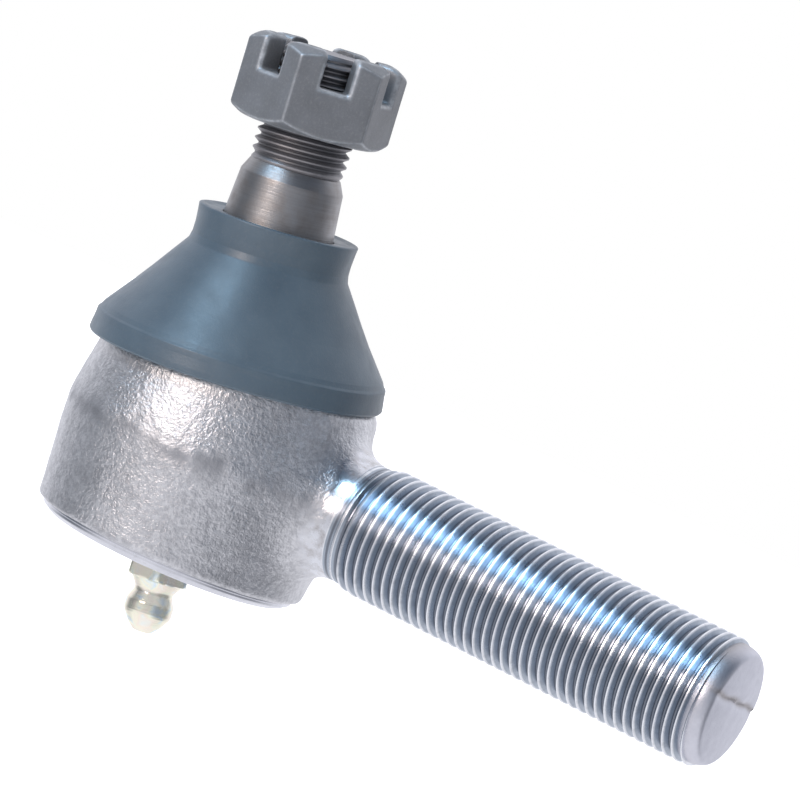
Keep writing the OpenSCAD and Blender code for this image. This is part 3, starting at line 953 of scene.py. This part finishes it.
def make_light(name, azimuth, elevation, distance, size, power, colour, glossy=True):
    """A round area light, in metres and watts, that faces the ball's centre."""
    data = bpy.data.lights.new(name, "AREA")
    data.shape = "DISK"
    data.size = size
    data.energy = power
    data.color = colour
    light = link(name, data)
    direction = towards(azimuth, elevation)
    turn = direction.to_track_quat("Z", "Y").to_matrix().to_4x4()
    light.matrix_world = Matrix.Translation(direction * distance) @ turn
    light.visible_camera = False
    light.visible_glossy = glossy


# The room that reflections see: its colours from floor to ceiling, and three walls, each with its
# direction, the cosines between which it fades in, and its colour.
ROOM = [(0.0, (0.95, 0.95, 1.0)), (0.3, (0.80, 0.80, 0.84)), (0.5, (0.50, 0.51, 0.55)),
        (0.70, (0.29, 0.33, 0.39)), (0.88, (0.08, 0.11, 0.16)), (1.0, (0.05, 0.07, 0.11))]
WALLS = [(towards(8, 0), 0.55, 0.95, (0.27, 0.28, 0.31)),
         (towards(-172, 5), 0.45, 0.95, (0.17, 0.19, 0.22)),
         (towards(117, 20), 0.1, 0.75, (1.0, 1.0, 1.06))]


def make_world():
    """White to the camera; to reflections, a soft room with a dark ceiling and a white wall behind."""
    world = bpy.data.worlds.new("studio")
    bpy.context.scene.world = world
    world.use_nodes = True
    world.node_tree.nodes.clear()
    nodes = Nodes(world.node_tree)
    direction = nodes.node("ShaderNodeTexCoord").outputs["Generated"]
    up = nodes.node("ShaderNodeSeparateXYZ", {0: direction}).outputs["Z"]
    room = nodes.ramp(nodes.math("MULTIPLY_ADD", up, 0.5, 0.5), *ROOM)
    for wall, low, high, colour in WALLS:
        facing = nodes.node("ShaderNodeVectorMath", {0: direction, 1: wall}, operation="DOT_PRODUCT")
        fade = nodes.node("ShaderNodeMapRange", {"Value": facing.outputs["Value"], "From Min": low,
                                                 "From Max": high}, interpolation_type="SMOOTHSTEP")
        room = nodes.mix(fade.outputs[0], room, colour)
    reflected = nodes.node("ShaderNodeBackground", {"Color": room}).outputs[0]
    seen = nodes.node("ShaderNodeBackground", {"Color": (1, 1, 1, 1)}).outputs[0]
    to_camera = nodes.node("ShaderNodeLightPath").outputs["Is Camera Ray"]
    choose = nodes.node("ShaderNodeMixShader", {0: to_camera, 1: reflected, 2: seen})
    nodes.node("ShaderNodeOutputWorld", {0: choose.outputs[0]})


def make_floor():
    """A plain pale round floor well below the part."""
    mesh = bpy.data.meshes.new("floor")
    angles = [TAU * i / 64 for i in range(64)]
    rim = [(FLOOR_R * math.cos(a), FLOOR_R * math.sin(a), FLOOR_Z) for a in angles]
    mesh.from_pydata(rim, [], [tuple(range(len(rim)))])
    floor = link("floor", mesh)
    s = Shader("floor")
    mesh.materials.append(s.finish(Base_Color=(0.9, 0.9, 0.9), Roughness=0.9, Emission_Color=(1, 1, 1),
                                   Emission_Strength=0.75))
    floor.visible_glossy = False


# ---- Build -----------------------------------------------------------------------------------
bpy.context.scene.view_settings.view_transform = "Standard"
STUD = stud_frame()
FITTING = fitting_frame()

make_camera()
make_world()
make_floor()
make_light("warm_key", -103, 17, distance=0.9, size=0.26, power=2.7, colour=(1.0, 0.85, 0.76))
make_light("blue_window", -122, 48, distance=0.9, size=0.36, power=3.8, colour=(0.50, 0.76, 1.0))
make_light("overhead", 0, 88, distance=1.2, size=1.6, power=14, colour=(1, 1, 1), glossy=False)

make_socket()
make_rolled_lip()
make_shank()
make_shank_end()
make_stud(STUD)
make_nut(STUD)
make_boot(STUD)
make_fitting(FITTING)
make_disc_spring()
make_check_spring(FITTING)

# The CAD's own pieces inside the socket are shown as they are, in these finishes.
INNER = {"upper_bearing": "bearing", "lower_bearing": "bearing", "cover_seal": "seal",
         "cover_plate": "cover", "fitting_ball": "spring", "collar_ring": "spring"}
for node, finish in INNER.items():
    data = frame["nodes"][node].data
    data.materials.clear()
    data.materials.append(MATERIALS[finish])
